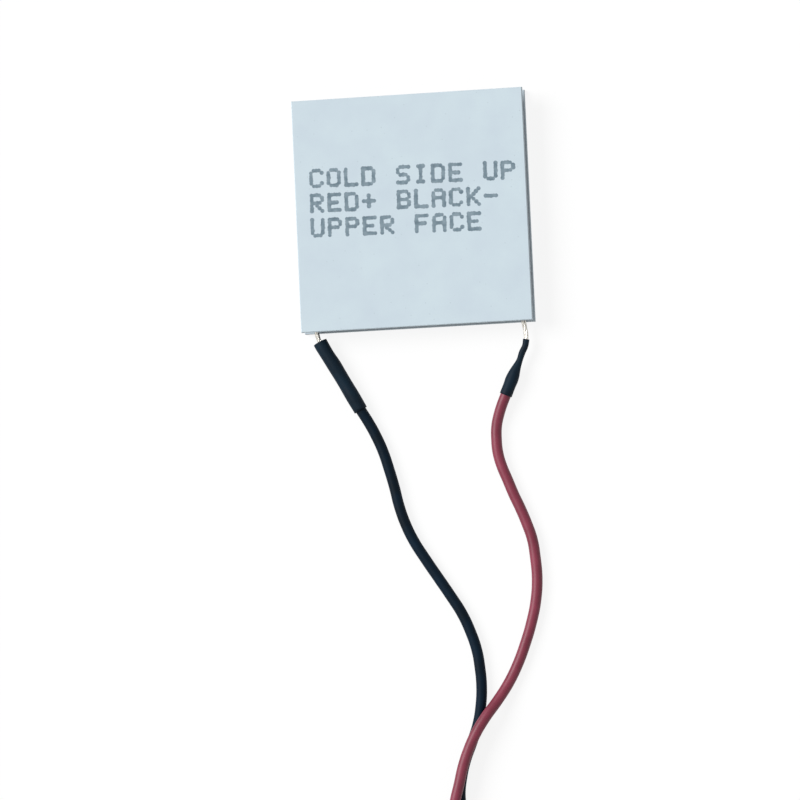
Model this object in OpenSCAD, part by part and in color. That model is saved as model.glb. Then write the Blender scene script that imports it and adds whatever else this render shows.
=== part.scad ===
// Thermoelectric cooling module: two ceramic plates with a square field of small P and N pellets
// between them. Copper tabs, bonded to the plates in turn below and above, join all the pellets in
// one long series, and a lead is soldered to each end of the series.
// It lies on its hot plate with the cold plate up. The origin is the centre of the hot plate's
// underside, +X points to the red lead's side and the leads leave towards -Y. Sizes in millimetres.

/* [Plates] */
// Size of both plates across the two leads
plate_w = 30; // [24:0.5:40]
// Size of both plates from the lead edge to the back edge
plate_d = 30; // [24:0.5:40]
// Thickness of each ceramic plate
plate_t = 0.76; // [0.5:0.02:1.2]
// Bevel along the edges of the plates' faces
plate_bevel = 0.08; // [0.02:0.01:0.2]
// Bare ceramic between the outermost tabs and the plates' edges
edge_margin = 0.9; // [0.5:0.05:1.5]

/* [Pellets] */
// Pellet positions along each side of the field, an even number
field_count = 16; // [8:2:16]
// Side of a pellet's square section
pellet_w = 1; // [0.7:0.05:1.2]
// Height of a pellet
pellet_h = 1.52; // [1:0.02:2.5]

/* [Tabs and solder] */
// Thickness of a copper tab
tab_t = 0.25; // [0.1:0.01:0.4]
// Copper that shows on each side of a pellet
tab_rim = 0.15; // [0.05:0.01:0.25]
// Cut across each corner of a tab, left by etching
tab_corner = 0.2; // [0.05:0.01:0.3]
// Thickness of the solder at each end of a pellet
solder_t = 0.03; // [0.02:0.005:0.06]
// Solder that shows on each side of a pellet
solder_rim = 0.06; // [0.01:0.01:0.1]

/* [Leads] */
// Diameter of a lead over its insulation
lead_d = 1.4; // [1:0.05:1.6]
// Diameter of the stranded conductor
conductor_d = 0.6; // [0.4:0.05:0.8]
// Length of conductor that lies on a terminal pad, measured from the pad's front end
conductor_on_pad = 1.3; // [0.8:0.05:1.6]
// Slant of both conductors towards +X, as a share of the way out
wire_lean = 0.05; // [0:0.01:0.1]
// Length of the stripped and tinned far end of a lead
tinned_len = 5; // [3:0.5:8]
// Wall of the black lead's shrink sleeve
black_sleeve_wall = 0.2; // [0.1:0.05:0.3]
// Wall of the red lead's shrink sleeve, which is of thinner tube
red_sleeve_wall = 0.1; // [0.1:0.05:0.3]
// Clearance between a sleeve and what it is shrunk on
sleeve_clear = 0.02; // [0.01:0.01:0.04]
// Length of the solder mound over a conductor
mound_len = 1.7; // [1:0.05:1.9]
// Thickness of solder over a conductor at the middle of the mound
mound_cover = 0.22; // [0.1:0.01:0.35]

/* [Stored coil of the leads] */
// Radius of the black lead's turns
black_turn_r = 7; // [6:0.25:7]
// Radius of the red lead's turns
red_turn_r = 8.5; // [8.5:0.25:9]
// Turn of the black lead beyond its first full turn, in degrees
black_second_turn = 180; // [60:5:270]
// Turn of the red lead beyond its first full turn, in degrees
red_second_turn = 85; // [60:5:270]
// Width of the tie along the leads
tie_w = 2; // [1:0.25:3]
// Thickness of the tie
tie_t = 0.3; // [0.2:0.05:0.5]
// Clearance between the tie and the turns
tie_clear = 0.03; // [0.02:0.01:0.1]
// Place of the tie round the coil, in degrees from +X
tie_at = 225; // [200:5:245]

/* [Hidden] */
$fn = 48;
SIDES = 8; // sides of a lead's tube

// Field of pellets
tab_w = pellet_w + 2 * tab_rim;
pitch_x = (plate_w - 2 * edge_margin - tab_w) / (field_count - 1);
pitch_y = (plate_d - 2 * edge_margin - tab_w) / (field_count - 1);
strips = field_count / 2;

// Levels, from the underside up
hot_solder_z = plate_t + tab_t;
pellet_z = hot_solder_z + solder_t;
cold_solder_z = pellet_z + pellet_h;
cold_tab_z = cold_solder_z + solder_t;
cold_plate_z = cold_tab_z + tab_t;
wire_z = hot_solder_z + solder_t + conductor_d / 2;

// Places of the terminals, and the level of the two layers of the coil
term_x = (field_count - 1) / 2 * pitch_x;
pad_front_y = -plate_d / 2 + edge_margin;
coil_z = tie_t + tie_clear;
coil_h = 2 * lead_d;
coil_centre = [10, -72, 0];
coil_in = black_turn_r - lead_d / 2;
coil_out = red_turn_r + lead_d / 2;

// Routes of the leads on the surface, up to the coil, with y measured from the plates' lead edge.
// Each starts on the conductor in front of its solder, with its first points set out from the terminal.
wire_y = edge_margin + conductor_on_pad; // inner end of a conductor
function wire_at(side, y) = [side * term_x + wire_lean * (wire_y - y), y, wire_z];
function from_terminal(side, places) = [
    wire_at(side, 0.5),
    for (p = places) [side * term_x + p.x, p.y, wire_z]
];
// Where a lead's own turns begin at the outside of the coil, which leaves a small gap
function coil_start(turn_r) = [
    coil_centre.x - turn_r,
    coil_centre.y + sqrt(pow(coil_out, 2) - pow(turn_r - lead_d / 2, 2)) + 0.1,
    coil_z + lead_d / 2
];
black_route = [
    each from_terminal(-1, [[0.17, -0.2], [0.3, -0.7], [0.5, -1.2], [0.85, -1.9]]),
    [-12, -3, 1.3], [-11.3, -4.2, 1.2], [-10.6, -5.5, 1.1], [-9.8, -7, 1], [-9, -8.5, 1],
    [-8.1, -10.2, 0.9], [-7.2, -11.8, 0.75], [-6.4, -13.4, 0.7], [-5.5, -15.6, 0.7],
    [-4.8, -18, 0.7], [-4.2, -20.4, 0.7], [-3.7, -22.8, 0.7], [-3, -25.1, 0.7], [-2, -27.4, 0.7],
    [-0.6, -29.8, 0.7], [0.9, -32.2, 0.7], [2.4, -34.6, 0.7], [3.8, -37, 0.7], [4.8, -39.4, 0.7],
    [5.5, -41.8, 0.7], [5.8, -44.1, 0.7], [5.9, -46.4, 0.7], [5.7, -48.8, 0.7], [5.2, -51.2, 0.7],
    [4.3, -53.6, 0.7], [3.4, -55.8, 0.7], [2.8, -58, 0.7], [2.5, -60.2, 0.7], [2.7, -62.6, 0.8],
    coil_start(black_turn_r)
];
red_route = [
    each from_terminal(1, [[0.2, -0.4], [0.31, -1.1], [0.37, -1.7], [0.36, -2.3], [0.2, -3.1]]),
    [13.2, -4, 1.33], [12.8, -5, 1.25], [12.3, -6, 1.2], [11.8, -7.1, 1.15], [11.3, -8.2, 1.1],
    [10.8, -9.3, 1.05], [10.3, -10.4, 1], [9.8, -11.7, 0.85], [9.4, -13.2, 0.7], [9.3, -14.9, 0.7],
    [9.4, -16.6, 0.7], [9.8, -18.3, 0.7], [10.5, -20.2, 0.7], [11.2, -22.1, 0.7], [12, -24, 0.7],
    [12.7, -25.9, 0.7], [13.3, -27.9, 0.7], [13.6, -30.4, 0.7], [13.7, -33, 0.7], [13.4, -35.8, 0.7],
    [12.7, -38.6, 0.7], [11.8, -41.2, 0.7], [10.7, -43.8, 0.7], [9.4, -46.2, 0.8], [7.9, -48.4, 1.3],
    [6.3, -50.5, 1.95], [5, -52.5, 2.15], [4, -54.5, 2.15], [3.2, -56.6, 2.15], [2.6, -58.8, 2.15],
    [2, -60.9, 2.15], [1.6, -63, 1.9], [1.5, -65, 1.45],
    coil_start(red_turn_r)
];
// Points of each route where the insulation starts, and between which the sleeve lies
black_jacket = 3;
red_jacket = 9;
black_cover = [3, 10];
red_cover = [4, 11];

STRIPS = [1 : strips];

// ---- Field of pellets: columns run along Y, and row 1 is at the lead edge ----

function col_x(c) = (c - (field_count + 1) / 2) * pitch_x;
function row_y(r) = (r - (field_count + 1) / 2) * pitch_y;
// The two lead-side corners hold the leads and not a pellet
function has_pellet(c, r) = r > 1 || (c > 1 && c < field_count);
function is_p(c, r) = (c + r) % 2 == 1;

// Square block on the place of column c and row r
module block(c, r, side, z, h) {
    translate([col_x(c) - side / 2, row_y(r) - side / 2, z])
        cube([side, side, h]);
}

// Tab from one place of the field to another, on or under a plate
module tab(c1, r1, c2, r2, z) {
    w = col_x(c2) - col_x(c1) + tab_w;
    d = row_y(r2) - row_y(r1) + tab_w;
    translate([(col_x(c1) + col_x(c2)) / 2, (row_y(r1) + row_y(r2)) / 2, z])
        linear_extrude(tab_t)
            polygon(cut_corner(w, d, tab_corner));
}

// Outline of a rectangle about the origin with its corners cut off
function cut_corner(w, d, cut) = [
    for (q = [[1, 1], [-1, 1], [-1, -1], [1, -1]], swap = [0, 1])
        let (along = swap == (q.x * q.y > 0 ? 0 : 1))
            [q.x * (w / 2 - (along ? 0 : cut)), q.y * (d / 2 - (along ? cut : 0))]
];

// Ceramic plate with bevelled face edges
module plate(z) {
    translate([0, 0, z + plate_t / 2])
        intersection() {
            cube([plate_w, plate_d, plate_t], center = true);
            beam(plate_w, plate_d, [90, 0, 90]);
            beam(plate_d, plate_w, [90, 0, 0]);
        }
}

// Beam of bevelled section, as long as the plate and turned along X or Y
module beam(length, width, turn) {
    rotate(turn)
        linear_extrude(length, center = true)
            polygon(cut_corner(width, plate_t, plate_bevel));
}

module hot_plate() {
    color([0.8, 0.86, 0.89]) plate(0);
}

module cold_plate() {
    color([0.8, 0.86, 0.89]) plate(cold_plate_z);
}

// Hot-side tabs each join the two rows of their strip, in every column
module hot_tabs_strip(k) {
    ends = k == 1 ? 1 : 0;
    color([0.72, 0.45, 0.3])
        for (c = [1 + ends : field_count - ends])
            tab(c, 2 * k - 1, c, 2 * k, plate_t);
}

// First and last tab of the series, which carry a lead on their front end
module terminal_pads() {
    color([0.72, 0.45, 0.3])
        for (c = [1, field_count])
            tab(c, 1, c, 2, plate_t);
}

module pellets(k, p_type) {
    for (r = [2 * k - 1, 2 * k], c = [1 : field_count])
        if (has_pellet(c, r) && is_p(c, r) == p_type)
            block(c, r, pellet_w, pellet_z, pellet_h);
}

module p_pellets_strip(k) {
    color([0.3, 0.31, 0.33]) pellets(k, true);
}

module n_pellets_strip(k) {
    color([0.4, 0.41, 0.43]) pellets(k, false);
}

// Cold-side tabs step from each strip to the next, in every column
module cold_tabs_strip(k) {
    color([0.72, 0.45, 0.3])
        for (c = [1 : field_count])
            tab(c, 2 * k, c, 2 * k + 1, cold_tab_z);
}

// Cross tabs take the series from column to column, by turns at the back and at the front
module cold_tabs_front() {
    color([0.72, 0.45, 0.3])
        for (c = [2 : 2 : field_count - 2])
            tab(c, 1, c + 1, 1, cold_tab_z);
}

module cold_tabs_back() {
    color([0.72, 0.45, 0.3])
        for (c = [1 : 2 : field_count - 1])
            tab(c, field_count, c + 1, field_count, cold_tab_z);
}

module solder_layer(z) {
    color([0.75, 0.76, 0.78])
        for (r = [1 : field_count], c = [1 : field_count])
            if (has_pellet(c, r))
                block(c, r, pellet_w + 2 * solder_rim, z, solder_t);
}

module hot_solder() {
    solder_layer(hot_solder_z);
}

module cold_solder() {
    solder_layer(cold_solder_z);
}

// ---- Leads ----

function unit(v) = v / norm(v);
// Direction of a route at its point i
function heading(route, i) = unit(route[min(i + 1, len(route) - 1)] - route[max(i - 1, 0)]);
// Ring of radius r round a route's point i, square to the route
function ring(route, i, r) =
    let (ahead = heading(route, i), side = unit(cross(ahead, [0, 0, 1])), up = cross(side, ahead))
        [
            for (k = [0 : SIDES - 1])
                route[i] + r * (cos(360 * k / SIDES) * side + sin(360 * k / SIDES) * up)
        ];

// Solid skinned over rings. A closed one goes back to its first ring, and an open one has flat ends.
module skin(rings, closed = false) {
    n = SIDES;
    m = len(rings);
    sides = [
        for (j = [0 : m - (closed ? 1 : 2)], k = [0 : n - 1])
            let (a = j * n, b = (j + 1) % m * n, l = (k + 1) % n)
                each [[a + k, a + l, b + l], [a + k, b + l, b + k]]
    ];
    caps = closed ? [] : [[for (k = [n - 1 : -1 : 0]) k], [for (k = [0 : n - 1]) (m - 1) * n + k]];
    polyhedron([for (r = rings) each r], concat(sides, caps));
}

module at_lead_edge() {
    translate([0, -plate_d / 2, 0]) children();
}

// Round bar of radius r along a route, from one of its points to another
module bar(route, first, last, r) {
    at_lead_edge()
        skin([for (i = [first : last]) ring(route, i, r)]);
}

module lead(route, jacket) {
    bar(route, jacket, len(route) - 1, lead_d / 2);
}

// Sleeve shrunk on the bare conductor, which widens over the two points in front of the insulation
module sleeve(route, jacket, cover, wall) {
    function widened(i) = min(max((i - jacket) / 2 + 1, 0), 1);
    function inner(i) = (conductor_d + (lead_d - conductor_d) * widened(i)) / 2 + sleeve_clear;
    outside = [for (i = [cover[0] : cover[1]]) ring(route, i, inner(i) + wall)];
    inside = [for (i = [cover[1] : -1 : cover[0]]) ring(route, i, inner(i))];
    at_lead_edge()
        skin(concat(outside, inside), closed = true);
}

// Places a child on a terminal's wire, y in from the lead edge, with its +Z along the way out
module on_wire(side, y) {
    at_lead_edge()
        translate(wire_at(side, y))
            rotate([90, 0, atan(wire_lean)])
                children();
}

// Bare conductor from its pad to where the insulation starts
module conductor(side, route, jacket) {
    bar([wire_at(side, wire_y), each route], 0, jacket + 1, conductor_d / 2);
}

// Mound of solder round a conductor, flat where it wets the pad
module solder_mound(side) {
    r = conductor_d / 2;
    profile = [
        [0, -mound_len / 2],
        for (t = [-90 : 30 : 90]) [r + mound_cover * cos(t), mound_len / 2 * sin(t)],
        [0, mound_len / 2]
    ];
    difference() {
        on_wire(side, edge_margin + mound_len / 2)
            rotate_extrude()
                polygon(profile);
        translate([side * term_x - tab_w, -plate_d / 2, hot_solder_z - conductor_d])
            cube([2 * tab_w, 2 * mound_len, conductor_d]);
        on_wire(side, wire_y)
            cylinder(d = conductor_d, h = 2 * mound_len);
    }
}

module lead_solder() {
    color([0.75, 0.76, 0.78])
        for (side = [-1, 1])
            solder_mound(side);
}

module black_conductor() {
    color([0.8, 0.79, 0.76]) conductor(-1, black_route, black_jacket);
}

module red_conductor() {
    color([0.8, 0.79, 0.76]) conductor(1, red_route, red_jacket);
}

module black_sleeve() {
    color([0.07, 0.09, 0.11]) sleeve(black_route, black_jacket, black_cover, black_sleeve_wall);
}

module red_sleeve() {
    color([0.07, 0.09, 0.11]) sleeve(red_route, red_jacket, red_cover, red_sleeve_wall);
}

module black_lead() {
    color([0.04, 0.06, 0.09]) lead(black_route, black_jacket);
}

module red_lead() {
    color([0.6, 0.2, 0.25]) lead(red_route, red_jacket);
}

// ---- Stored coil: the two leads lie side by side, one turn below and the rest on top of it ----

// Part of a turn about the coil's centre, from one angle on by another, of the section drawn as a child
module turn(from, by) {
    at_lead_edge()
        translate(coil_centre)
            rotate(from)
                rotate_extrude(angle = by)
                    children();
}

module lead_coil() {
    color([0.3, 0.12, 0.16])
        union() {
            turn(0, 360)
                translate([coil_in, coil_z]) square([coil_out - coil_in, lead_d]);
            turn(180, black_second_turn)
                translate([coil_in, coil_z + lead_d]) square(lead_d);
            turn(180, red_second_turn)
                translate([coil_out - lead_d, coil_z + lead_d]) square(lead_d);
        }
}

// Section of all the turns, grown by a margin on each side
module turns_section(margin) {
    translate([coil_in - margin, coil_z - margin])
        square([coil_out - coil_in + 2 * margin, coil_h + 2 * margin]);
}

// Tie round all the turns
module coil_tie() {
    spread = tie_w / (coil_in + coil_out) * 2 * 180 / PI;
    color([0.1, 0.1, 0.1])
        turn(tie_at - spread / 2, spread)
            difference() {
                turns_section(tie_clear + tie_t);
                turns_section(tie_clear);
            }
}

// Stripped far ends, which run on from the ends of the second turns
module tinned_end(r, from) {
    turn(from, tinned_len / r * 180 / PI)
        translate([r, coil_z + lead_d * 3 / 2])
            circle(d = conductor_d);
}

module tinned_ends() {
    color([0.8, 0.79, 0.76]) {
        tinned_end(black_turn_r, 180 + black_second_turn);
        tinned_end(red_turn_r, 180 + red_second_turn);
    }
}

hot_plate();
cold_plate();
for (k = STRIPS) {
    hot_tabs_strip(k);
    p_pellets_strip(k);
    n_pellets_strip(k);
}
terminal_pads();
for (k = [1 : strips - 1])
    cold_tabs_strip(k);
cold_tabs_front();
cold_tabs_back();
hot_solder();
cold_solder();
lead_solder();
black_conductor();
red_conductor();
black_sleeve();
red_sleeve();
black_lead();
red_lead();
lead_coil();
coil_tie();
tinned_ends();
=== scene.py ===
# Looks of the thermoelectric cooling module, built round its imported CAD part. The frame is the
# part's: +Z up, +X to the red lead's side, and the leads leave towards -Y. Lengths are in metres.
import math
import random

import bmesh
import bpy
from mathutils import Matrix, Vector


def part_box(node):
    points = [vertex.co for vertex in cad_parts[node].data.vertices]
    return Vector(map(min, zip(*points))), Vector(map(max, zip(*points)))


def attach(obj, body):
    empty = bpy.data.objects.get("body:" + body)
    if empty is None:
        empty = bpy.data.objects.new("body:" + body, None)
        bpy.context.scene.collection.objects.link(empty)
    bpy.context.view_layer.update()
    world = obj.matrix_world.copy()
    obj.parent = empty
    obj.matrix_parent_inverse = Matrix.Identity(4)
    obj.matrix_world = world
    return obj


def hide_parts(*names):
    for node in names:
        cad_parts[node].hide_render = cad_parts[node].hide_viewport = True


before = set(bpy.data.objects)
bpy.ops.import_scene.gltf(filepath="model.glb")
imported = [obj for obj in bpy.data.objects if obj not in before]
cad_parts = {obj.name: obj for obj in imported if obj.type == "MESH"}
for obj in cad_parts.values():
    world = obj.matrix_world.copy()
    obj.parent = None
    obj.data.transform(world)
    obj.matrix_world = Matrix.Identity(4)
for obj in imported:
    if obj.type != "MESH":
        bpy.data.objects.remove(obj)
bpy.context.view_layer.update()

MM = 0.001
plate_low, plate_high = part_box("cold_plate")
LEAD_EDGE = plate_low.y
TOP = plate_high.z

# ---- Sizes of the leads and of their coil, the same as the part's ----
# Those without MM are plain millimetres or degrees, for the functions that take them so, and the lean is
# how far a conductor goes sideways for each millimetre along its pad

LEAD_D = 1.4 * MM
CONDUCTOR_D = 0.6 * MM
SLEEVE_WALL = {"black": 0.2 * MM, "red": 0.1 * MM}
SLEEVE_CLEAR = 0.02 * MM
TINNED_LEN = 5 * MM
TERMINAL_X = 13.45
WIRE_Z = 1.34
WIRE_LEAN = 0.05
WIRE_INNER = 2.2
COIL_CENTRE = (10, -72)
COIL_LOW = 1.03
TURN_R = {"black": 7, "red": 8.5}
TURNED = {"black": 540, "red": 445}
# Part of a lead's way round, in degrees, on which it climbs from the lower layer to the upper
CLIMB = (265, 312)
TIE_AT = 225
TIE_W = 2 * MM
TIE_T = 0.3 * MM
TIE_CLEAR = 0.03 * MM
TIE_ROUND = 0.55 * MM
# Head of the tie and cut end of its tail: size outwards, along the coil and up, then how far the middle
# stands outside the band, and for the tail above the middle of the band's height
TIE_HEAD = (1.3 * MM, 2.9 * MM, 2.1 * MM)
TIE_HEAD_OUT = 0.35 * MM
TIE_TAIL = (0.4 * MM, 1.9 * MM, 1.4 * MM)
TIE_TAIL_OUT, TIE_TAIL_UP = 0.3 * MM, 1.1 * MM
TIE_EDGE = 0.12 * MM


# ---- Shared helpers ----

def at_lead_edge(x, y, z):
    """Point in the frame from millimetres, with y measured from the plates' lead edge."""
    return Vector((x * MM, LEAD_EDGE + y * MM, z * MM))


def smoothstep(t):
    t = min(max(t, 0), 1)
    return t * t * (3 - 2 * t)


def linear(hex_code):
    """Linear RGBA of an sRGB hex colour."""
    channels = [int(hex_code[i:i + 2], 16) / 255 for i in (1, 3, 5)]
    return (*[c / 12.92 if c <= 0.04045 else ((c + 0.055) / 1.055) ** 2.4 for c in channels], 1)


def add(tree, kind, inputs=None, **settings):
    """Adds a node. Its inputs are values, or outputs of other nodes, by the name or place of the socket."""
    node = tree.nodes.new("ShaderNode" + kind)
    for name, value in settings.items():
        setattr(node, name, value)
    for name, value in (inputs or {}).items():
        if isinstance(value, bpy.types.NodeSocket):
            tree.links.new(value, node.inputs[name])
        else:
            node.inputs[name].default_value = value
    return node


def new_tree(name):
    """Empty material and its node tree."""
    material = bpy.data.materials.new(name)
    material.use_nodes = True
    material.node_tree.nodes.clear()
    return material, material.node_tree


def place_piece(data, name, material, smooth=True):
    """Object at the origin with one material, which rides on the module."""
    piece = bpy.data.objects.new(name, data)
    bpy.context.scene.collection.objects.link(piece)
    data.materials.append(material)
    if smooth and isinstance(data, bpy.types.Mesh):
        data.shade_smooth()
    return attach(piece, "root")


def mesh_from(bm, name):
    """Mesh of a finished bmesh, with its faces outwards."""
    bmesh.ops.recalc_face_normals(bm, faces=bm.faces)
    mesh = bpy.data.meshes.new(name)
    bm.to_mesh(mesh)
    bm.free()
    return mesh


# ---- Camera: above the cold face, a little to the red lead's side and to the lead edge ----

LEAN_X, LEAN_Y, ROLL = math.radians(8), math.radians(-4), math.radians(-2.59)
AIM = Vector((-3.07, -24.12, 0)) * MM
DISTANCE = 600 * MM
LENS, SENSOR = 209.3, 36

back = Vector((math.tan(LEAN_X), math.tan(LEAN_Y), 1)).normalized()
up = (Vector((0, 1, 0)) - back * back.y).normalized()
right = up.cross(back)
turn = Matrix.Rotation(ROLL, 3, back)
camera_data = bpy.data.cameras.new("camera")
camera_data.lens = LENS
camera_data.sensor_width = SENSOR
camera_data.clip_start, camera_data.clip_end = 0.01, 10
camera = bpy.data.objects.new("camera", camera_data)
bpy.context.scene.collection.objects.link(camera)
axes = Matrix((turn @ right, turn @ up, back)).transposed().to_4x4()
camera.matrix_world = Matrix.Translation(AIM + back * DISTANCE) @ axes
bpy.context.scene.camera = camera

# ---- Routes of the leads, as in the part ----

NEAR_PADS = {
    "black": [(0.17, -0.2), (0.3, -0.7), (0.5, -1.2), (0.85, -1.9)],
    "red": [(0.2, -0.4), (0.31, -1.1), (0.37, -1.7), (0.36, -2.3), (0.2, -3.1)],
}
ROUTES = {
    "black": [
        (-12, -3, 1.3), (-11.3, -4.2, 1.2), (-10.6, -5.5, 1.1), (-9.8, -7, 1), (-9, -8.5, 1),
        (-8.1, -10.2, 0.9), (-7.2, -11.8, 0.75), (-6.4, -13.4, 0.7), (-5.5, -15.6, 0.7),
        (-4.8, -18, 0.7), (-4.2, -20.4, 0.7), (-3.7, -22.8, 0.7), (-3, -25.1, 0.7), (-2, -27.4, 0.7),
        (-0.6, -29.8, 0.7), (0.9, -32.2, 0.7), (2.4, -34.6, 0.7), (3.8, -37, 0.7), (4.8, -39.4, 0.7),
        (5.5, -41.8, 0.7), (5.8, -44.1, 0.7), (5.9, -46.4, 0.7), (5.7, -48.8, 0.7), (5.2, -51.2, 0.7),
        (4.3, -53.6, 0.7), (3.4, -55.8, 0.7), (2.8, -58, 0.7), (2.5, -60.2, 0.7), (2.7, -62.6, 0.8),
        (3, -65.2, 1.03),
    ],
    "red": [
        (13.2, -4, 1.33), (12.8, -5, 1.25), (12.3, -6, 1.2), (11.8, -7.1, 1.15), (11.3, -8.2, 1.1),
        (10.8, -9.3, 1.05), (10.3, -10.4, 1), (9.8, -11.7, 0.85), (9.4, -13.2, 0.7), (9.3, -14.9, 0.7),
        (9.4, -16.6, 0.7), (9.8, -18.3, 0.7), (10.5, -20.2, 0.7), (11.2, -22.1, 0.7), (12, -24, 0.7),
        (12.7, -25.9, 0.7), (13.3, -27.9, 0.7), (13.6, -30.4, 0.7), (13.7, -33, 0.7), (13.4, -35.8, 0.7),
        (12.7, -38.6, 0.7), (11.8, -41.2, 0.7), (10.7, -43.8, 0.7), (9.4, -46.2, 0.8), (7.9, -48.4, 1.3),
        (6.3, -50.5, 1.95), (5, -52.5, 2.15), (4, -54.5, 2.15), (3.2, -56.6, 2.15), (2.6, -58.8, 2.15),
        (2, -60.9, 2.15), (1.6, -63, 1.9), (1.5, -65, 1.45), (1.5, -67, 1.03),
    ],
}
JACKET_START = {"black": 3, "red": 9}
COVER = {"black": (3, 10), "red": (4, 11)}
SIDE = {"black": -1, "red": 1}


def wire_at(lead, y):
    """Point of a conductor on its pad."""
    return SIDE[lead] * TERMINAL_X + WIRE_LEAN * (WIRE_INNER - y), y, WIRE_Z


def route_of(lead):
    """All points of a lead's route, from just in front of its solder to the coil."""
    near = [(SIDE[lead] * TERMINAL_X + x, y, WIRE_Z) for x, y in NEAR_PADS[lead]]
    return [wire_at(lead, 0.5), *near, *ROUTES[lead]]


def coil_place(lead, turned):
    """Point of a lead that has turned so far, in degrees: one turn below, a climb, the rest on top."""
    climb = smoothstep((turned - CLIMB[0]) / (CLIMB[1] - CLIMB[0]))
    angle = math.radians(180 + turned)
    x = COIL_CENTRE[0] + TURN_R[lead] * math.cos(angle)
    y = COIL_CENTRE[1] + TURN_R[lead] * math.sin(angle)
    return x, y, COIL_LOW + climb * LEAD_D / MM


def curve_through(points, radius, radii=None):
    """Round curve on one smooth line through the points, with open ends if it has radii of its own."""
    data = bpy.data.curves.new("line", "CURVE")
    data.dimensions = "3D"
    data.bevel_depth = radius
    data.bevel_resolution = 6
    data.resolution_u = 6
    data.use_fill_caps = radii is None
    spline = data.splines.new("BEZIER")
    spline.radius_interpolation = "CARDINAL"
    spline.bezier_points.add(len(points) - 1)
    for i, (place, point) in enumerate(zip(points, spline.bezier_points)):
        point.co = at_lead_edge(*place)
        point.handle_left_type = point.handle_right_type = "AUTO"
        point.radius = radii[i] if radii else 1
    return data


# ---- Materials ----

OBJECT = "Object"


def alumina_tape_cast():
    """Alumina, tape cast, fired, laser scribed and snapped: matt and pale, faintly cloudy, with a fine
    grain, few grey specks, and the half holes of the laser along the outer half of its broken edges."""
    material, tree = new_tree("alumina_tape_cast")
    place = add(tree, "TexCoord")
    cloud = add(tree, "TexNoise", {"Vector": place.outputs[OBJECT], "Scale": 1 / (4 * MM), "Detail": 3})
    grain = add(tree, "TexNoise", {"Vector": place.outputs[OBJECT], "Scale": 1 / (0.15 * MM), "Detail": 2})
    tint = add(tree, "ValToRGB", {"Fac": cloud.outputs["Fac"]})
    tint.color_ramp.elements[0].position, tint.color_ramp.elements[0].color = 0.3, linear("#CFDEE8")
    tint.color_ramp.elements[1].position, tint.color_ramp.elements[1].color = 0.7, linear("#D4E4EC")
    cells = add(tree, "TexVoronoi", {"Vector": place.outputs[OBJECT], "Scale": 1 / (0.9 * MM)})
    speck = add(tree, "MapRange", {"Value": cells.outputs["Distance"], "From Min": 0.05, "From Max": 0.1,
                                   "To Min": 0.35, "To Max": 0})
    spotted = add(tree, "Mix", {0: speck.outputs[0], 6: tint.outputs["Color"], 7: linear("#9FAFB8")},
                  data_type="RGBA")
    rough = add(tree, "MapRange", {"Value": grain.outputs["Fac"], "To Min": 0.5, "To Max": 0.68})
    # Laser holes stand 0.25 mm apart, a little wider than real, so that they show
    normal = add(tree, "SeparateXYZ", {0: place.outputs["Normal"]})
    spot = add(tree, "SeparateXYZ", {0: place.outputs[OBJECT]})
    across = add(tree, "Math", {0: spot.outputs["X"], 1: normal.outputs["Y"]}, operation="MULTIPLY")
    along = add(tree, "Math", {0: spot.outputs["Y"], 1: normal.outputs["X"], 2: across.outputs[0]},
                operation="MULTIPLY_ADD")
    phase = add(tree, "Math", {0: along.outputs[0], 1: math.pi / (0.25 * MM)}, operation="MULTIPLY")
    wave = add(tree, "Math", {0: phase.outputs[0]}, operation="SINE")
    hole = add(tree, "Math", {0: wave.outputs[0]}, operation="ABSOLUTE")
    height = add(tree, "Math", {0: spot.outputs["Z"], 1: TOP / 2}, operation="SUBTRACT")
    outward = add(tree, "Math", {0: height.outputs[0]}, operation="ABSOLUTE")
    outer = add(tree, "MapRange", {"Value": outward.outputs[0], "From Min": TOP / 2 - 0.42 * MM,
                                   "From Max": TOP / 2 - 0.36 * MM})
    upright = add(tree, "Math", {0: normal.outputs["Z"]}, operation="ABSOLUTE")
    side = add(tree, "MapRange", {"Value": upright.outputs[0], "From Min": 0.2, "From Max": 0.6,
                                  "To Min": 1, "To Max": 0})
    scribed = add(tree, "Math", {0: outer.outputs[0], 1: side.outputs[0]}, operation="MULTIPLY")
    holes = add(tree, "Math", {0: hole.outputs[0], 1: scribed.outputs[0]}, operation="MULTIPLY")
    grained = add(tree, "Bump", {"Height": grain.outputs["Fac"], "Strength": 0.35, "Distance": 0.012 * MM})
    relief = add(tree, "Bump", {"Height": holes.outputs[0], "Strength": 0.7, "Distance": 0.06 * MM,
                                "Normal": grained.outputs[0]})
    shader = add(tree, "BsdfPrincipled", {"Base Color": spotted.outputs[2], "IOR": 1.65,
                                          "Specular IOR Level": 0.3, "Roughness": rough.outputs[0],
                                          "Normal": relief.outputs[0]})
    add(tree, "OutputMaterial", {"Surface": shader.outputs[0]})
    return material


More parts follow.
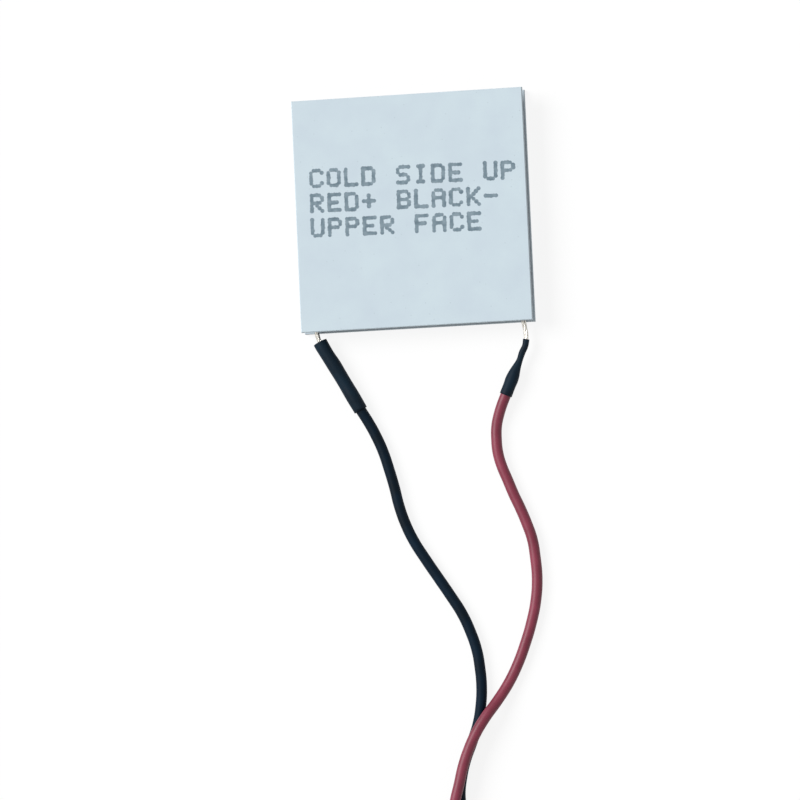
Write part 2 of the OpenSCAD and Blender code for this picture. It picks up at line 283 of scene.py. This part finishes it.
def copper_bonded():
    """Copper strip, bonded to the ceramic and etched: dull orange-pink, with brown tarnish in clouds."""
    material, tree = new_tree("copper_bonded_etched")
    place = add(tree, "TexCoord")
    tarnish = add(tree, "TexNoise", {"Vector": place.outputs[OBJECT], "Scale": 1 / (1.2 * MM), "Detail": 4})
    tint = add(tree, "ValToRGB", {"Fac": tarnish.outputs["Fac"]})
    tint.color_ramp.elements[0].position, tint.color_ramp.elements[0].color = 0.35, linear("#8E5A3E")
    tint.color_ramp.elements[1].position, tint.color_ramp.elements[1].color = 0.65, linear("#C98560")
    rough = add(tree, "MapRange", {"Value": tarnish.outputs["Fac"], "To Min": 0.5, "To Max": 0.3})
    etched = add(tree, "TexNoise", {"Vector": place.outputs[OBJECT], "Scale": 1 / (0.08 * MM), "Detail": 2})
    relief = add(tree, "Bump", {"Height": etched.outputs["Fac"], "Strength": 0.4, "Distance": 0.008 * MM})
    shader = add(tree, "BsdfPrincipled", {"Base Color": tint.outputs["Color"], "Metallic": 1,
                                          "Roughness": rough.outputs[0], "Normal": relief.outputs[0]})
    add(tree, "OutputMaterial", {"Surface": shader.outputs[0]})
    return material


def telluride_diced(name, dark, light):
    """Bismuth telluride, cut from an ingot with a dicing saw: grey semi-metal with a cleaved sparkle in
    patches and fine saw lines round each pellet."""
    material, tree = new_tree(name)
    place = add(tree, "TexCoord")
    crystals = add(tree, "TexVoronoi", {"Vector": place.outputs[OBJECT], "Scale": 1 / (0.5 * MM)})
    tone = add(tree, "SeparateColor", {0: crystals.outputs["Color"]})
    tint = add(tree, "ValToRGB", {"Fac": tone.outputs[0]})
    tint.color_ramp.elements[0].color = linear(dark)
    tint.color_ramp.elements[1].color = linear(light)
    # Saw lines lie level, 0.06 mm apart
    stretch = add(tree, "Mapping", {"Vector": place.outputs[OBJECT], "Scale": (0.05, 0.05, 1)})
    lines = add(tree, "TexNoise", {"Vector": stretch.outputs[0], "Scale": 1 / (0.06 * MM), "Detail": 1})
    relief = add(tree, "Bump", {"Height": lines.outputs["Fac"], "Strength": 0.6, "Distance": 0.01 * MM})
    rough = add(tree, "MapRange", {"Value": tone.outputs[1], "To Min": 0.36, "To Max": 0.5})
    shader = add(tree, "BsdfPrincipled", {"Base Color": tint.outputs["Color"], "Metallic": 0.9,
                                          "Roughness": rough.outputs[0], "Normal": relief.outputs[0]})
    add(tree, "OutputMaterial", {"Surface": shader.outputs[0]})
    return material


def metal_tin(name, dark, light, roughness, grain_size):
    """Tin alloy, frozen from the melt: bright grey with a soft, slightly uneven skin."""
    material, tree = new_tree(name)
    place = add(tree, "TexCoord")
    skin = add(tree, "TexNoise", {"Vector": place.outputs[OBJECT], "Scale": 1 / grain_size, "Detail": 3})
    tint = add(tree, "ValToRGB", {"Fac": skin.outputs["Fac"]})
    tint.color_ramp.elements[0].position, tint.color_ramp.elements[0].color = 0.35, linear(dark)
    tint.color_ramp.elements[1].position, tint.color_ramp.elements[1].color = 0.65, linear(light)
    rough = add(tree, "MapRange", {"Value": skin.outputs["Fac"], "To Min": roughness + 0.1,
                                   "To Max": roughness - 0.08})
    relief = add(tree, "Bump", {"Height": skin.outputs["Fac"], "Strength": 0.4, "Distance": 0.02 * MM})
    shader = add(tree, "BsdfPrincipled", {"Base Color": tint.outputs["Color"], "Metallic": 1,
                                          "Roughness": rough.outputs[0], "Normal": relief.outputs[0]})
    add(tree, "OutputMaterial", {"Surface": shader.outputs[0]})
    return material


def plastic_extruded(name, dark, light, roughness, specular):
    """Soft plastic, extruded: satin, with a faint orange peel and slow clouds of handling marks."""
    material, tree = new_tree(name)
    place = add(tree, "TexCoord")
    cloud = add(tree, "TexNoise", {"Vector": place.outputs[OBJECT], "Scale": 1 / (2.5 * MM), "Detail": 4})
    tint = add(tree, "ValToRGB", {"Fac": cloud.outputs["Fac"]})
    tint.color_ramp.elements[0].position, tint.color_ramp.elements[0].color = 0.35, linear(dark)
    tint.color_ramp.elements[1].position, tint.color_ramp.elements[1].color = 0.68, linear(light)
    peel = add(tree, "TexNoise", {"Vector": place.outputs[OBJECT], "Scale": 1 / (0.25 * MM), "Detail": 2})
    rough = add(tree, "MapRange", {"Value": cloud.outputs["Fac"], "To Min": roughness - 0.06,
                                   "To Max": roughness + 0.08})
    relief = add(tree, "Bump", {"Height": peel.outputs["Fac"], "Strength": 0.3, "Distance": 0.02 * MM})
    shader = add(tree, "BsdfPrincipled", {"Base Color": tint.outputs["Color"], "IOR": 1.53,
                                          "Specular IOR Level": specular,
                                          "Roughness": rough.outputs[0], "Normal": relief.outputs[0]})
    add(tree, "OutputMaterial", {"Surface": shader.outputs[0]})
    return material


def ink_jetted():
    """Grey marking ink, jetted as dots and soaked in a little: flat, paler in slow patches."""
    material, tree = new_tree("ink_jetted")
    place = add(tree, "TexCoord")
    fade = add(tree, "TexNoise", {"Vector": place.outputs[OBJECT], "Scale": 1 / (0.7 * MM), "Detail": 3})
    tint = add(tree, "ValToRGB", {"Fac": fade.outputs["Fac"]})
    tint.color_ramp.elements[0].position, tint.color_ramp.elements[0].color = 0.3, linear("#6F838F")
    tint.color_ramp.elements[1].position, tint.color_ramp.elements[1].color = 0.75, linear("#97A9B4")
    shader = add(tree, "BsdfPrincipled", {"Base Color": tint.outputs["Color"], "Roughness": 0.7,
                                          "Specular IOR Level": 0.2})
    add(tree, "OutputMaterial", {"Surface": shader.outputs[0]})
    return material


alumina = alumina_tape_cast()
copper = copper_bonded()
# The pellets' greys are partly telluride's own dark grey and partly painted shade: they are darker than
# bare telluride so that the narrow gap between the plates reads as deep shade
p_telluride_gap_shaded = telluride_diced("p_telluride_diced_gap_shaded", "#424448", "#585B5F")
n_telluride_gap_shaded = telluride_diced("n_telluride_diced_gap_shaded", "#4E5054", "#65686C")
solder = metal_tin("tin_solder_reflowed", "#A3A4A8", "#C6C7CA", 0.38, 0.5 * MM)
tinned = metal_tin("copper_strand_tinned", "#B5B1A8", "#D8D5CE", 0.3, 0.2 * MM)
black_pvc = plastic_extruded("black_pvc_extruded", "#01101B", "#031B2C", 0.55, 0.1)
red_pvc = plastic_extruded("red_pvc_extruded", "#772439", "#8B3349", 0.46, 0.42)
shrink = plastic_extruded("black_polyolefin_shrunk", "#071723", "#0D2433", 0.55, 0.12)
nylon = plastic_extruded("black_nylon_moulded", "#101214", "#1C1E21", 0.4, 0.45)
ink = ink_jetted()

FINISHES = {
    "plate": alumina, "tabs": copper, "pads": copper, "p_pellets": p_telluride_gap_shaded,
    "n_pellets": n_telluride_gap_shaded, "solder": solder,
}
for node_name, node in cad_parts.items():
    for word, finish in FINISHES.items():
        if word in node_name:
            for material_slot in node.material_slots:
                material_slot.material = finish

# ---- Leads ----

# Steps along the strands, and how far they twist at each
STRAND_STEP, STRAND_TWIST = 0.15 * MM, math.radians(7)
END_STEP, END_TWIST = 0.2 * MM, math.radians(9)
# A tinned end starts this many degrees back, inside its insulation
END_ROOT = 6
# Degrees of the coil between two points of a lead's line
COIL_STEP = 15
# Unevenness of a shrunk sleeve, as a share of its wall, and its pace from point to point
SHRINK_WAVE, SHRINK_PACE = 0.1, 2.3


def twisted_strands(name, places, twist):
    """Seven twisted strands as one skin, whose outline goes from place to place and turns by twist."""
    strand = CONDUCTOR_D / 6
    bm = bmesh.new()
    bmesh.ops.create_circle(bm, segments=36, radius=1)
    for vert in bm.verts:
        # Outline of six round strands about the middle one
        lobe = (math.atan2(vert.co.y, vert.co.x) + math.pi / 6) % (math.pi / 3) - math.pi / 6
        beside = 2 * strand * math.sin(lobe)
        out = 2 * strand * math.cos(lobe) + math.sqrt(max(strand ** 2 - beside ** 2, 0))
        vert.co *= out
    start, edges = list(bm.edges), list(bm.edges)
    bmesh.ops.transform(bm, matrix=places[0], verts=bm.verts)
    for i in range(1, len(places)):
        moved = bmesh.ops.extrude_edge_only(bm, edges=edges)["geom"]
        edges = [part for part in moved if isinstance(part, bmesh.types.BMEdge)]
        verts = [part for part in moved if isinstance(part, bmesh.types.BMVert)]
        whirl = places[i - 1] @ Matrix.Rotation(twist * (i - 1), 4, "Z")
        bmesh.ops.transform(bm, matrix=places[i] @ Matrix.Rotation(twist * i, 4, "Z") @ whirl.inverted(),
                            verts=verts)
    bmesh.ops.edgeloop_fill(bm, edges=start)
    bmesh.ops.edgeloop_fill(bm, edges=edges)
    return place_piece(mesh_from(bm, name), name, tinned)


def along(points, step):
    """Places at even steps on a smooth line through points, each with its +Z along the line."""
    line = curve_through(points, 0)
    holder = bpy.data.objects.new("line", line)
    bpy.context.scene.collection.objects.link(holder)
    bpy.context.view_layer.update()
    drawn = holder.evaluated_get(bpy.context.evaluated_depsgraph_get())
    verts = [v.co.copy() for v in bpy.data.meshes.new_from_object(drawn).vertices]
    bpy.data.objects.remove(holder)
    places, gone = [], 0
    for a, b in zip(verts, verts[1:]):
        while gone <= (b - a).length:
            spot = a.lerp(b, gone / (b - a).length)
            places.append(Matrix.Translation(spot) @ (b - a).to_track_quat("Z", "Y").to_matrix().to_4x4())
            gone += step
        gone -= (b - a).length
    return places


def make_lead(lead, finish):
    """A lead with its insulation, shrink sleeve, conductor and tinned far end."""
    route, jacket = route_of(lead), JACKET_START[lead]
    steps = round(TURNED[lead] / COIL_STEP)
    coiled = [coil_place(lead, TURNED[lead] * i / steps) for i in range(steps + 1)]
    line = curve_through([*route[jacket:], *coiled], LEAD_D / 2)
    insulation = place_piece(line, lead + "_insulation", finish)
    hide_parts(lead + "_lead", "lead_coil")

    first, last = COVER[lead]
    wall = SLEEVE_WALL[lead]
    radii = []
    for i in range(first, last + 1):
        widened = min(max((i - jacket) / 2 + 1, 0), 1)
        inner = (CONDUCTOR_D + (LEAD_D - CONDUCTOR_D) * widened) / 2 + SLEEVE_CLEAR
        radii.append(inner + wall * (1 + SHRINK_WAVE * math.sin(SHRINK_PACE * i)))
    outline = place_piece(curve_through(route[first:last + 1], 1, radii), "outline", shrink)
    bpy.context.view_layer.update()
    skin = bpy.data.meshes.new_from_object(outline.evaluated_get(bpy.context.evaluated_depsgraph_get()))
    bpy.data.objects.remove(outline)
    skin.materials.clear()
    sleeve = place_piece(skin, lead + "_shrink_sleeve", shrink)
    thickness = sleeve.modifiers.new("wall", "SOLIDIFY")
    thickness.thickness, thickness.offset, thickness.use_even_offset = wall, -1, False
    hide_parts(lead + "_sleeve")

    bare = along([wire_at(lead, WIRE_INNER), *route[:jacket + 2]], STRAND_STEP)
    conductor = twisted_strands(lead + "_strands", bare, STRAND_TWIST)
    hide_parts(lead + "_conductor")
    sweep = math.degrees(TINNED_LEN / MM / TURN_R[lead])
    tip = [coil_place(lead, TURNED[lead] - END_ROOT + (sweep + END_ROOT) * i / 8) for i in range(9)]
    end = twisted_strands(lead + "_tinned_end", along(tip, END_STEP), END_TWIST)
    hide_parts("tinned_ends")
    return insulation, [sleeve, conductor, end]


def coil_tie():
    """Tie round the coil: a flat nylon band, with its head and the cut end of its tail outside."""
    bm = bmesh.new()
    inner = TURN_R["black"] * MM - LEAD_D / 2 - TIE_CLEAR - TIE_T
    outer = TURN_R["red"] * MM + LEAD_D / 2 + TIE_CLEAR + TIE_T
    height = 2 * (LEAD_D + TIE_CLEAR + TIE_T)
    corners = [bm.verts.new((x, -TIE_W / 2, z)) for x, z in
               ((inner, 0), (outer, 0), (outer, height), (inner, height))]
    bm.faces.new(corners)
    bmesh.ops.bevel(bm, geom=corners, affect="VERTICES", offset=TIE_ROUND, segments=5, profile=0.5,
                    material=-1)
    bmesh.ops.delete(bm, geom=list(bm.faces), context="FACES_ONLY")
    drawn = bmesh.ops.extrude_edge_only(bm, edges=list(bm.edges))["geom"]
    bmesh.ops.translate(bm, vec=(0, TIE_W, 0),
                        verts=[part for part in drawn if isinstance(part, bmesh.types.BMVert)])
    bmesh.ops.recalc_face_normals(bm, faces=bm.faces)
    bmesh.ops.solidify(bm, geom=list(bm.faces), thickness=TIE_T)
    head = (outer + TIE_HEAD_OUT, 0, height / 2), TIE_HEAD
    cut_tail = (outer + TIE_TAIL_OUT, 0, height / 2 + TIE_TAIL_UP), TIE_TAIL
    for spot, size in (head, cut_tail):
        block = Matrix.Translation(spot) @ Matrix.Diagonal((*size, 1))
        made = bmesh.ops.create_cube(bm, size=1, matrix=block)
        edges = {edge for vert in made["verts"] for edge in vert.link_edges}
        bmesh.ops.bevel(bm, geom=list(edges), affect="EDGES", offset=TIE_EDGE, segments=2, profile=0.5,
                        material=-1)
    centre = at_lead_edge(*COIL_CENTRE, 0)
    bmesh.ops.transform(bm, verts=bm.verts,
                        matrix=Matrix.Translation(centre) @ Matrix.Rotation(math.radians(TIE_AT), 4, "Z"))
    tie = place_piece(mesh_from(bm, "coil_tie"), "coil_tie_band", nylon, smooth=False)
    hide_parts("coil_tie")
    return tie


black_lead, black_pieces = make_lead("black", black_pvc)
red_lead, red_pieces = make_lead("red", red_pvc)
tie = coil_tie()

# ---- Marking on the cold face: plain words for the side and for the leads ----

LETTERS = {
    "A": ".###. #...# #...# ##### #...# #...# #...#",
    "B": "####. #...# #...# ####. #...# #...# ####.",
    "C": ".###. #...# #.... #.... #.... #...# .###.",
    "D": "####. #...# #...# #...# #...# #...# ####.",
    "E": "##### #.... #.... ####. #.... #.... #####",
    "F": "##### #.... #.... ####. #.... #.... #....",
    "I": ".###. ..#.. ..#.. ..#.. ..#.. ..#.. .###.",
    "K": "#...# #..#. #.#.. ##... #.#.. #..#. #...#",
    "L": "#.... #.... #.... #.... #.... #.... #####",
    "O": ".###. #...# #...# #...# #...# #...# .###.",
    "P": "####. #...# #...# ####. #.... #.... #....",
    "R": "####. #...# #...# ####. #.#.. #..#. #...#",
    "S": ".#### #.... #.... .###. ....# ....# ####.",
    "U": "#...# #...# #...# #...# #...# #...# .###.",
    "+": "..... ..#.. ..#.. ##### ..#.. ..#.. .....",
    "-": "..... ..... ..... ##### ..... ..... .....",
}
ROWS = (("COLD SIDE UP", 4.6), ("RED+ BLACK-", 1.4), ("UPPER FACE", -1.8))
# Rows have their text and the height of their middle. In millimetres from the middle of the face: start of
# the rows, width of a letter with its space, distances between dots, a dot's size and the film's thickness,
# from thin to thick, and how far a dot may land off its place
ROW_START = -12.9
CELL = 2.26
DOT_ACROSS, DOT_UP = 0.34, 0.335
DOT_D = 0.55
FILM = (0.004, 0.01)
SCATTER = 0.03
# Least and most of a dot's size, and its top, as shares
DOT_SPREAD = (0.85, 1.1)
DOT_TAPER = 0.9
ROW_TILT = math.radians(-1)


def marking():
    """Rows of ink dots, each a thin film a little off its place, as a jet leaves them."""
    jet = random.Random(11)
    bm = bmesh.new()
    for text, middle in ROWS:
        for place, letter in enumerate(text):
            for line, dots in enumerate(LETTERS.get(letter, "").split()):
                for column, dot in enumerate(dots):
                    if dot == ".":
                        continue
                    x = ROW_START + place * CELL + column * DOT_ACROSS + jet.uniform(-SCATTER, SCATTER)
                    y = middle + (3 - line) * DOT_UP + jet.uniform(-SCATTER, SCATTER)
                    film = jet.uniform(*FILM)
                    radius = DOT_D / 2 * jet.uniform(*DOT_SPREAD)
                    tilted = Matrix.Rotation(ROW_TILT, 3, "Z") @ Vector((x, y, 0))
                    spot = Matrix.Translation((tilted.x * MM, tilted.y * MM, TOP + film * MM / 2))
                    size = Matrix.Diagonal((1, 1, film / radius / 2, 1))
                    bmesh.ops.create_cone(bm, cap_ends=True, segments=12, radius1=radius * MM,
                                          radius2=radius * DOT_TAPER * MM, depth=radius * 2 * MM,
                                          matrix=spot @ size)
    return place_piece(mesh_from(bm, "marking"), "marking_dots", ink, smooth=False)


marking()

# ---- Floor, backdrop and light ----

SUN_FROM = Vector((-1, 0.4, 1))
# Light of the softbox and of the white room on the level table, where 1 shows a white as white
SUN_LEVEL = 0.6
ROOM_LEVEL = 0.32
# Part of the table's white that is lit, and so takes a shadow. The rest glows, a little past white in all
FLOOR_GREY = 0.15
FLOOR_WHITE = 1.02
FLOOR_SIZE = 1.5
# The table lies this far below the hot plate, so that the two faces don't meet
FLOOR_DROP = 0.02 * MM
SUN_ANGLE = math.radians(35)


def shown_rays(tree):
    """1 for the rays that show a background: the camera's, and those by way of gloss or glass."""
    path = add(tree, "LightPath")
    seen = add(tree, "Math", {0: path.outputs["Is Camera Ray"], 1: path.outputs["Is Glossy Ray"]},
               operation="MAXIMUM")
    return add(tree, "Math", {0: seen.outputs[0], 1: path.outputs["Is Transmission Ray"]},
               operation="MAXIMUM").outputs[0]


def white_floor():
    """Matt white table for the rays that show it, with a shadow. All other light goes through it, and so
    does the view from below."""
    material, tree = new_tree("matt_white_table")
    shown = shown_rays(tree)
    surface = add(tree, "BsdfDiffuse", {"Color": (FLOOR_GREY, FLOOR_GREY, FLOOR_GREY, 1)})
    glow = add(tree, "Emission", {"Strength": FLOOR_WHITE - FLOOR_GREY})
    both = add(tree, "AddShader", {0: surface.outputs[0], 1: glow.outputs[0]})
    clear = add(tree, "BsdfTransparent", {"Color": (1, 1, 1, 1)})
    facing = add(tree, "NewGeometry")
    solid = add(tree, "Math", {0: shown, 1: facing.outputs["Backfacing"]}, operation="GREATER_THAN")
    sided = add(tree, "MixShader", {0: solid.outputs[0], 1: clear.outputs[0], 2: both.outputs[0]})
    add(tree, "OutputMaterial", {"Surface": sided.outputs[0]})
    return material


bm = bmesh.new()
bmesh.ops.create_grid(bm, x_segments=1, y_segments=1, size=FLOOR_SIZE,
                      matrix=Matrix.Translation((0, 0, -FLOOR_DROP)))
floor_mesh = bpy.data.meshes.new("floor")
bm.to_mesh(floor_mesh)
bm.free()
floor_mesh.materials.append(white_floor())
floor = bpy.data.objects.new("floor", floor_mesh)
bpy.context.scene.collection.objects.link(floor)

world = bpy.data.worlds.new("studio")
world.use_nodes = True
world.node_tree.nodes.clear()
strength = add(world.node_tree, "MapRange", {"Value": shown_rays(world.node_tree),
                                             "To Min": ROOM_LEVEL, "To Max": 1})
sky = add(world.node_tree, "Background", {"Color": (1, 1, 1, 1), "Strength": strength.outputs[0]})
add(world.node_tree, "OutputWorld", {"Surface": sky.outputs[0]})
bpy.context.scene.world = world

sun_data = bpy.data.lights.new("softbox", "SUN")
sun_data.energy = SUN_LEVEL * math.pi / SUN_FROM.normalized().z
sun_data.angle = SUN_ANGLE
sun = bpy.data.objects.new("softbox", sun_data)
sun.rotation_euler = SUN_FROM.to_track_quat("Z", "Y").to_euler()
bpy.context.scene.collection.objects.link(sun)

bpy.context.scene.view_settings.view_transform = "Standard"
